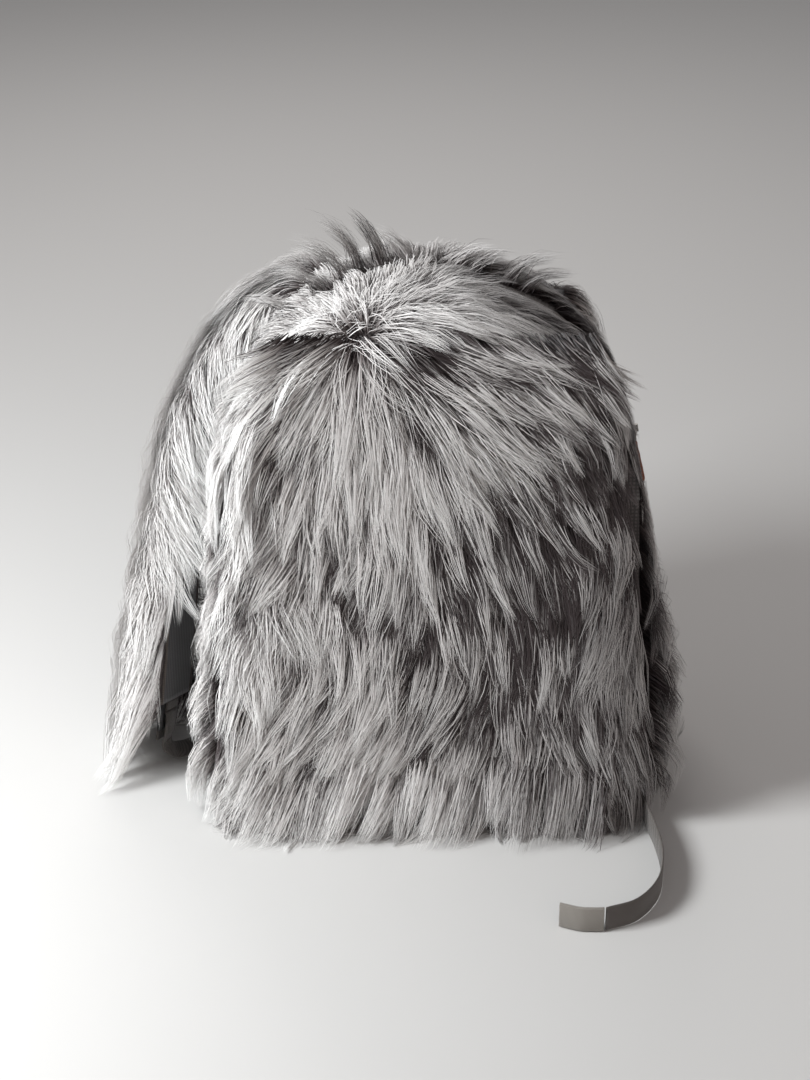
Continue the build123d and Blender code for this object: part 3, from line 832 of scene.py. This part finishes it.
LEFT_PAD = [
    (-0.056, 0.072, 0.354), (-0.080, 0.093, 0.363), (-0.112, 0.104, 0.353), (-0.146, 0.104, 0.323),
    (-0.173, 0.086, 0.276), (-0.189, 0.066, 0.212), (-0.197, 0.047, 0.145), (-0.202, 0.029, 0.088),
    (-0.206, 0.017, 0.052),
]
LEFT_ACROSS = [(-0.80, -0.60, 0), (-0.55, -0.83, 0), (-0.35, -0.93, 0)] + [(-0.30, -0.95, 0)] * 6
RIGHT_PAD = [
    (0.056, 0.072, 0.352), (0.066, 0.091, 0.358), (0.076, 0.106, 0.346), (0.084, 0.114, 0.316),
    (0.092, 0.114, 0.270), (0.100, 0.110, 0.215), (0.107, 0.105, 0.165), (0.113, 0.101, 0.120),
    (0.117, 0.099, 0.086),
]
RIGHT_ACROSS = [(-0.85, 0.50, 0), (-0.93, 0.36, 0), (-0.98, 0.20, 0), (-1, 0.08, 0)] + [(-1, 0, 0)] * 5
PAD_LOW = -PAD_CORE / 2 - PAD_UNDERSIDE


def clear_of_back(verts):
    """The strap's top end lies flat on the back panel."""
    near = (abs(verts[..., 0]) < 0.14) & (verts[..., 2] > 0.30)
    verts[..., 1] = np.where(near, np.maximum(verts[..., 1], BACK_Y + 0.0023), verts[..., 1])
    return verts


def strap_pad(side, points, across):
    path = route(points, across, 90)
    pad = sweep(
        f"{side}_pad",
        path,
        rounded_section(PAD_W, PAD_LOW, PAD_CORE / 2, 0.0045),
        nylon,
        change=clear_of_back,
    )
    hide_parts(f"{side}_pad_core", f"{side}_pad_underside")
    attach(pad, f"{side}_strap")
    place, tangent, wide, out = path
    ring = [(0.0021 * math.cos(a), 0.0021 * math.sin(a)) for a in np.linspace(0, 2 * math.pi, 9)[:-1]]
    for name, edge in (("inner", -1), ("outer", 1)):
        centre = place + wide * (edge * (PAD_W / 2 - 0.0012)) + out * (PAD_LOW + 0.0016)
        piping = (centre, tangent, wide, out)
        bead = sweep(f"{side}_pad_piping_{name}", piping, ring, taupe, change=clear_of_back)
        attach(bead, f"{side}_strap")
    return path


def strap_fur(side, path, count, start, height, length, wrap_to, tuft):
    """Pile round the strap's outer face and both edges, lying down the strap.

    Above wrap_to (a height) the hair of the front edge closes over the underside."""
    place, tangent, wide, out = path
    steps = np.linalg.norm(np.diff(place, axis=0), axis=1)
    along = np.concatenate([[0], np.cumsum(steps)])
    total = along[-1]
    half = PAD_W / 2
    reach = half + PAD_CORE + 0.001

    def sample(k):
        return np.stack([rng.uniform(start * total, total, k), rng.uniform(-reach, reach, k)], 1)

    spot, clump = scatter(many(count), 20, 0.0050, sample)
    s = np.clip(spot[:, 0], start * total, total)
    w = np.clip(spot[:, 1], -reach, reach)

    def at(values):
        return np.stack([np.interp(s, along, values[:, i]) for i in range(3)], 1)

    p, t, a, o = at(place), unit(at(tangent)), unit(at(wide)), unit(at(out))
    over = np.clip(abs(w) - half, 0, PAD_CORE)
    turn = np.clip((abs(w) - half * 0.62) / (half * 0.38 + PAD_CORE), 0, 1) * math.radians(118)
    root = p + a * np.clip(w, -half, half)[:, None] + o * (PAD_CORE / 2 - over)[:, None]
    normal = unit(o * np.cos(turn)[:, None] + a * (np.sign(w) * np.sin(turn))[:, None])
    closed = np.clip((p[:, 2] - wrap_to + 0.03) / 0.06, 0, 1) * np.clip(w / half, 0, 1) ** 2
    flow = t + a * (0.26 * swirl_small(p) + 0.20 * np.sign(w) * (1 - closed))[:, None]
    flow -= o * (1.5 * closed)[:, None]
    flow += o * (0.58 * np.clip((0.17 - p[:, 2]) / 0.10, 0, 1))[:, None]
    flow[:, 2] -= 0.35
    flow = unit(flow - normal * (flow * normal).sum(1, keepdims=True) * 0.8)
    tone = strand_tone(tone_and_painted_shade_at(root, ()) + 0.16, clump)
    far = np.clip((s / total - 0.80) / 0.20, 0, 1)
    down = np.clip(s / total, 0, 1)
    size = length * (1 + tuft * far) * rng.uniform(0.65, 1.2, len(root)) * lock_size(clump, 0.8, 1.2)
    rise = height * (0.58 + 0.85 * down) * rng.uniform(0.5, 1.15, len(root)) * lock_size(clump, 0.65, 1.2)
    rise = rise * (1 - 0.45 * np.clip(w / half, 0, 1))
    size, rise = sized(size, rise, tone)
    made = strand_mesh(f"{side}_strap", root, normal, flow, clump, size, rise, tone)
    finish_fur(f"{side}_pad_strands", made, f"{side}_strap", f"{side}_pad_fur")


left_path = strap_pad("left", LEFT_PAD, LEFT_ACROSS)
right_path = strap_pad("right", RIGHT_PAD, RIGHT_ACROSS)
strap_fur("left", left_path, 21000, 0.09, 0.032, 0.056, 0.19, 0.40)
strap_fur("right", right_path, 12000, 0.10, 0.021, 0.046, 0.60, 0.10)


def end_frame(points, across):
    """Corner, direction on down the strap, outward and across at a strap's lower end."""
    last = np.array(points[-1], float)
    along = unit(last - np.array(points[-2], float))
    wide = np.array(across[-1], float)
    wide = unit(wide - along * (wide @ along))
    return last, along, np.cross(along, wide), wide


def lock_point(end, x, y):
    """A place x along from a strap's end and y outward."""
    return end[0] + end[1] * x + end[2] * y


WEB_SECTION = rounded_section(WEB_W, -WEB_T / 2, WEB_T / 2, 0.00065, per=3)


def web_ribbon(name, points, across, node, body, count=120, material=webbing,
               section=WEB_SECTION):
    """Band of webbing through the points, in the place of a node."""
    ribbon = sweep(name, route(points, across, count), section, material)
    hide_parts(node)
    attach(ribbon, body)


left_end = end_frame(LEFT_PAD, LEFT_ACROSS)
right_end = end_frame(RIGHT_PAD, RIGHT_ACROSS)


def threaded(end, tail):
    """Points of webbing through a ladder lock: front tail, over the bar, and out behind."""
    spots = [(tail, 0.0034), (0.024, 0.0032), (0.0145, 0.0033), (0.0114, 0.0022), (0.0112, -0.0022),
             (0.0145, -0.0033), (0.026, -0.0032)]
    return [lock_point(end, x, y) for x, y in spots]


web_ribbon(
    "left_webbing_run",
    threaded(left_end, 0.034) + [
        (-0.208, 0.005, 0.018), (-0.203, 0.006, 0.011), (-0.195, 0.013, 0.007), (-0.183, 0.027, 0.004),
        (-0.170, 0.045, 0.0024), (-0.160, 0.060, 0.0030),
    ],
    [left_end[3]] * 7 + [
        (-0.25, -0.97, 0), (0.0, -1, 0), (0.25, -0.95, 0),
        (0.60, -0.80, 0), (0.75, -0.66, 0), (0.80, -0.60, 0),
    ],
    "left_webbing",
    "left_lock",
    count=160,
)
web_ribbon(
    "right_webbing_run",
    threaded(right_end, 0.0262) + [
        (0.124, 0.090, 0.050), (0.130, 0.085, 0.038), (0.138, 0.079, 0.026), (0.144, 0.0765, 0.018),
    ],
    [right_end[3]] * 7 + [(-1, 0, 0), (-1, 0, 0), (-0.95, 0, -0.3), (-0.8, 0, -0.6)],
    "right_webbing",
    "right_lock",
    count=140,
)
web_ribbon(
    "right_tail_drop_run",
    [
        lock_point(right_end, 0.0266, 0.0032), (0.123, 0.101, 0.050), (0.125, 0.102, 0.038),
        (0.129, 0.102, 0.027), (0.135, 0.102, 0.018), (0.142, 0.102, 0.0125),
    ],
    [right_end[3], (-1, 0, 0), (-0.92, 0, -0.4), (-0.75, 0, -0.66), (-0.45, 0, -0.9), (-0.2, 0, -1)],
    "right_tail_drop",
    "right_lock",
    count=60,
)
TAIL_Z = 0.0008 + WEB_W / 2
TAIL = [
    (0.1515, 0.100), (0.157, 0.096), (0.161, 0.084), (0.162, 0.050), (0.160, 0.000), (0.156, -0.045),
    (0.158, -0.080), (0.163, -0.114), (0.164, -0.145), (0.157, -0.175), (0.140, -0.198), (0.118, -0.208),
]
web_ribbon(
    "right_tail_run",
    [(x, y, TAIL_Z) for x, y in TAIL],
    [(0, 0, 1)] * len(TAIL),
    "right_tail",
    "right_tail",
    count=200,
)
web_ribbon(
    "right_tail_folded_end",
    [(0.1165, -0.2084, TAIL_Z), (0.108, -0.2086, TAIL_Z), (0.100, -0.208, TAIL_Z), (0.086, -0.203, TAIL_Z)],
    [(0, 0, 1)] * 4,
    "right_tail_fold",
    "right_tail",
    count=50,
    material=webbing_light,
    section=rounded_section(WEB_W, -WEB_T, WEB_T, 0.0011, per=3),
)

# ================= back panel, loops, zip =================
def prisms(name, centre, axis, length, u, v, material):
    """One short six-sided bead at each centre, with rounded ends.

    length holds the distance along the axis of its four rings and each ring's share of the size."""
    verts = []
    for place, thick in length:
        for corner in range(6):
            angle = corner * math.pi / 3
            verts.append(centre + axis * place + (u * math.cos(angle) + v * math.sin(angle)) * thick)
    base = (np.arange(len(centre)) * 24)[:, None]
    walls = [
        [6 * r + a, 6 * r + (a + 1) % 6, 6 * r + 6 + (a + 1) % 6, 6 * r + 6 + a]
        for r in range(3) for a in range(6)
    ]
    ends = [[0, a + 1, a] for a in range(1, 5)] + [[18, 18 + a, 19 + a] for a in range(1, 5)]
    quads = (base + np.array(walls).ravel()[None]).reshape(-1, 4)
    tris = (base + np.array(ends).ravel()[None]).reshape(-1, 3)
    return mesh_object(name, np.stack(verts, 1).reshape(-1, 3), quads, tris, material)


def stitches(name, points, outward, body, pitch=0.0038, length=0.0026, radius=0.00032):
    """A row of thread stitches along a line on a surface that faces outward."""
    points = np.array(points, float)
    steps = np.linalg.norm(np.diff(points, axis=0), axis=1)
    along = np.concatenate([[0], np.cumsum(steps)])
    spots = np.arange(pitch / 2, along[-1], pitch)
    centre = np.stack([np.interp(spots, along, points[:, i]) for i in range(3)], 1)
    ahead = np.stack([np.interp(spots + 1e-4, along, points[:, i]) for i in range(3)], 1)
    before = np.stack([np.interp(spots - 1e-4, along, points[:, i]) for i in range(3)], 1)
    tangent = unit(ahead - before)
    outward = np.broadcast_to(np.array(outward, float), points.shape)
    outward = unit(np.stack([np.interp(spots, along, outward[:, i]) for i in range(3)], 1))
    side = np.cross(tangent, outward)
    rings = ((-0.5 * length, 0.35), (-0.28 * length, 1.0), (0.28 * length, 1.0), (0.5 * length, 0.35))
    row = prisms(name, centre, tangent, rings, side * radius, outward * radius, thread)
    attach(row, body)


def closed_outline(grow):
    """The shell's outline as a closed run of (x, z) points, grown outwards."""
    run = OUTLINE[::2, :2] + OUTLINE[::2, 2:] * grow
    low = CORNER_Z - CORNER_R - grow
    run = run[run[:, 1] > low + 0.0004]
    across = np.stack([np.linspace(run[-1, 0], run[0, 0], 40)[1:-1], np.full(38, low)], 1)
    return np.vstack([run, across])


def panel_relief(x, z):
    """Height of the padded back panel over its flat face."""
    depth = np.clip(inside_distance(x, z)[0], 0, 1)
    crown = 0.0034 * np.clip(depth / 0.030, 0, 1) ** 0.6
    flat = np.clip((0.322 - z) / 0.018, 0, 1)
    spine = 0.0052 * np.exp(-((x / 0.0085) ** 2))
    sag = 0.0084 * np.cos(x * 16)
    rungs = sum(0.0042 * np.exp(-(((z - sag - level) / 0.0042) ** 2)) for level in (0.10, 0.175, 0.25))
    border = 0.0030 * np.exp(-(((depth - 0.020) / 0.0018) ** 2))
    crease = 0.0004 * fine_field(np.stack([x, 0 * x, z], 1))
    seams = np.maximum(np.maximum(spine, rungs), border)
    return (crown - seams + crease) * flat - 0.0012 * np.exp(-depth / 0.002)


PANEL_T = 0.0038
rim = closed_outline(-0.0002)
middle = np.array([0.0, 0.190])
levels = np.concatenate([[1.0, 0.997, 0.99, 0.98], np.linspace(0.965, 0.012, 110)])
rings = middle + (rim - middle)[None] * levels[:, None, None]
flat_rings = rings.reshape(-1, 2)
front_y = BACK_Y + panel_relief(flat_rings[:, 0], flat_rings[:, 1])
face = np.stack([flat_rings[:, 0], front_y, flat_rings[:, 1]], 1)
hidden = np.stack([rim[:, 0], np.full(len(rim), BACK_Y - PANEL_T), rim[:, 1]], 1)
around = len(rim)
i = (np.arange(len(levels) - 1) * around)[:, None]
j = np.arange(around)[None]
k = (j + 1) % around
quads = np.stack([i + j, i + around + j, i + around + k, i + k], 2).reshape(-1, 4)
outer = np.arange(around)
behind = len(face) + outer
edge = np.stack([outer, np.roll(outer, -1), np.roll(behind, -1), behind], 1)
centre_front = len(face) + around
centre_back = centre_front + 1
last = (len(levels) - 1) * around + np.arange(around)
tris = np.concatenate([
    np.stack([last, np.full(around, centre_front), np.roll(last, -1)], 1),
    np.stack([np.roll(behind, -1), np.full(around, centre_back), behind], 1),
])
centres = np.array([
    [middle[0], BACK_Y + panel_relief(middle[:1], middle[1:])[0], middle[1]],
    [middle[0], BACK_Y - PANEL_T, middle[1]],
])
padding = mesh_object(
    "back_padding", np.vstack([face, hidden, centres]), np.vstack([quads, edge]), tris, mesh_cloth,
)
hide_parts("back_panel")
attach(padding, "bag")


def on_panel(x, z, lift=0.0004):
    x, z = np.atleast_1d(np.asarray(x, float)), np.atleast_1d(np.asarray(z, float))
    return np.stack([x, BACK_Y + panel_relief(x, z) + lift, z], 1)


seam_z = np.linspace(0.030, 0.305, 90)
for side in (-1, 1):
    stitches(f"spine_stitches_{side + 2}", on_panel(np.full(90, side * 0.0035), seam_z), (0, 1, 0), "bag")
inner = closed_outline(-0.0205)
inner = inner[inner[:, 1] < 0.315]
gaps = np.linalg.norm(np.diff(inner, axis=0, append=inner[:1]), axis=1)
inner = np.roll(inner, -int(np.argmax(gaps)) - 1, axis=0)
stitches("border_stitches", on_panel(inner[:, 0], inner[:, 1]), (0, 1, 0), "bag")

STITCH_LIFT = 0.0001
patch = [
    (-0.089, 0.347), (-0.055, 0.3715), (0.055, 0.3715), (0.089, 0.347), (0.059, 0.3345), (-0.059, 0.3345),
]
PATCH_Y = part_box("yoke_patch")[1].y
stitches(
    "patch_stitches",
    [(x, PATCH_Y + STITCH_LIFT, z) for x, z in patch + patch[:1]],
    (0, 1, 0),
    "bag",
)
TAB_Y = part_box("anchor_tab_left")[1].y
for side, name in ((-1, "left"), (1, "right")):
    tab = [(0.103, 0.0245), (0.1175, 0.0475), (0.150, 0.0235), (0.149, 0.0085), (0.1215, 0.0085)]
    stitches(
        f"tab_stitches_{name}",
        [(side * x, TAB_Y + STITCH_LIFT, z) for x, z in tab + tab[:1]],
        (0, 1, 0),
        "bag",
    )

LOOP_Y = (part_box("haul_loop")[0].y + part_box("haul_loop")[1].y) / 2
loop_points = [
    (-0.026, 0.374), (-0.026, 0.362), (-0.022, 0.349), (-0.013, 0.342), (0, 0.340),
    (0.013, 0.342), (0.022, 0.349), (0.026, 0.362), (0.026, 0.374),
]
web_ribbon(
    "haul_loop_ribbon",
    [(x, LOOP_Y, z) for x, z in loop_points],
    [(0, 1, 0)] * len(loop_points),
    "haul_loop",
    "haul_loop",
    count=90,
    section=rounded_section(0.018, -0.0013, 0.0013, 0.0009, per=3),
)


COIL_LIFT = 0.0010


def coil_teeth(name, node, body, side, angle, pitch=0.00155):
    """Coil of the zip as a row of short rounded elements across the tape's edge."""
    radius = TOP_R + COIL_LIFT
    count = int(2 * math.radians(angle) * radius / pitch)
    a = np.linspace(-math.radians(angle), math.radians(angle), count)
    out = np.stack([np.sin(a), 0 * a, np.cos(a)], 1)
    tangent = np.stack([np.cos(a), 0 * a, -np.sin(a)], 1)
    across = np.array([0, 1.0, 0])
    middle_y = ZIP_Y + side * 0.0018
    centre = np.stack([radius * np.sin(a), 0 * a + middle_y, TOP_Z + radius * np.cos(a)], 1)
    rings = ((-0.00115, 0.55), (-0.0008, 1.0), (0.0008, 1.0), (0.00115, 0.55))
    made = prisms(name, centre, across, rings, tangent * 0.00062, out * 0.00090, coil)
    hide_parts(node)
    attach(made, body)


coil_teeth("zip_coil_rear_teeth", "zip_coil_rear", "bag", 1, 82)
fold_angle = math.degrees(math.acos((FOLD.z + 0.0010 - TOP_Z) / (TOP_R + COIL_LIFT)))
coil_teeth("zip_coil_front_teeth", "zip_coil_front", "front_flap", -1, fold_angle)
for side, rows in ((-1, "front"), (1, "rear")):
    for number, offset in enumerate((0.0052, 0.0118)):
        y = ZIP_Y + side * offset
        reach = fold_angle if rows == "front" else 78
        a = np.radians(np.linspace(-reach, reach, 160))
        radius = TOP_R + STITCH_LIFT
        line = np.stack([radius * np.sin(a), 0 * a + y, TOP_Z + radius * np.cos(a)], 1)
        outward = np.stack([np.sin(a), 0 * a, np.cos(a)], 1)
        body = "front_flap" if rows == "front" else "bag"
        stitches(f"tape_stitches_{rows}_{number + 1}", line, outward, body, pitch=0.0034)

# The leather tab is limp: it turns a little to the front as it hangs.
tab_low, tab_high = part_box("puller_tab")
tab_x = (tab_low.x + tab_high.x) / 2
TAB_COUNT = 60
hang = np.linspace(0, 1, 5)
tab_points = np.stack([
    tab_x + 0.0050 * hang**2,
    ZIP_Y - 0.0030 * hang**2,
    tab_high.z + (tab_low.z - tab_high.z) * hang,
], 1)
turn = np.radians(62) * np.clip(hang * 1.4, 0, 1)
tab_across = np.stack([np.sin(turn), np.cos(turn), 0 * turn], 1)
tab_path = route(tab_points, tab_across, TAB_COUNT)
tab_width = (tab_high.y - tab_low.y) * np.interp(
    np.linspace(0, 1, TAB_COUNT), [0, 0.12, 0.20, 0.93, 0.98, 1.0], [0.46, 0.46, 1, 1, 0.86, 0.60],
)
tab_section = rounded_section(1.0, -0.0010, 0.0010, 0.0008, per=4)
tab_piece = sweep("puller_leather", tab_path, tab_section, leather, scale=tab_width)
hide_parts("puller_tab")
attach(tab_piece, "zip_puller")
place, _, wide, out = tab_path
stitched = slice(14, 56)
for side in (-1, 1):
    line = (place + wide * side * 0.0036 + out * 0.0011)[stitched]
    stitches(
        f"puller_stitches_{side + 2}", line, out[stitched], "zip_puller",
        pitch=0.0024, length=0.0017, radius=0.00025,
    )

# ================= floor, light, camera =================
floor_mesh = bpy.data.meshes.new("floor")
far = 40.0
floor_mesh.from_pydata([(-far, -far, 0), (far, -far, 0), (far, far, 0), (-far, far, 0)], [], [(0, 1, 2, 3)])
floor = bpy.data.objects.new("floor", floor_mesh)
bpy.context.collection.objects.link(floor)
floor_material, _, floor_shader = new_material("pale_floor")
floor_shader.inputs["Base Color"].default_value = (0.60, 0.59, 0.58, 1)
floor_shader.inputs["Roughness"].default_value = 0.9
floor_mesh.materials.append(floor_material)

world = bpy.data.worlds.new("studio")
bpy.context.scene.world = world
world.use_nodes = True
world.node_tree.nodes["Background"].inputs[0].default_value = (0.86, 0.85, 0.86, 1)
world.node_tree.nodes["Background"].inputs[1].default_value = 0.30


def area_light(name, place, target, power, size, colour):
    light = bpy.data.lights.new(name, "AREA")
    light.energy = power
    light.size = size
    light.color = colour
    lamp = bpy.data.objects.new(name, light)
    bpy.context.collection.objects.link(lamp)
    lamp.location = place
    lamp.rotation_euler = (Vector(target) - Vector(place)).to_track_quat("-Z", "Y").to_euler()


area_light("key", (-0.98, -0.45, 0.92), (-0.05, 0, 0.2), 25, 0.45, (0.96, 0.99, 1.0))
area_light("fill", (1.0, -2.0, 1.2), (0, 0, 0.2), 6, 1.6, (1.0, 0.78, 0.66))
area_light("rim", (-0.3, 1.6, 1.7), (0, 0, 0.2), 12, 1.0, (1.0, 0.97, 0.95))

CAMERA_DISTANCE = 1.60
CAMERA_ELEVATION = math.radians(28)
CAMERA_TARGET = Vector((-0.022, 0.0, 0.199))
camera_data = bpy.data.cameras.new("camera")
camera_data.lens = 72
camera_data.clip_start = 0.05
camera = bpy.data.objects.new("camera", camera_data)
bpy.context.collection.objects.link(camera)
back = Vector((0, -math.cos(CAMERA_ELEVATION), math.sin(CAMERA_ELEVATION)))
camera.location = CAMERA_TARGET + back * CAMERA_DISTANCE
camera.rotation_euler = (-back).to_track_quat("-Z", "Y").to_euler()
bpy.context.scene.camera = camera
bpy.context.scene.view_settings.view_transform = "Standard"
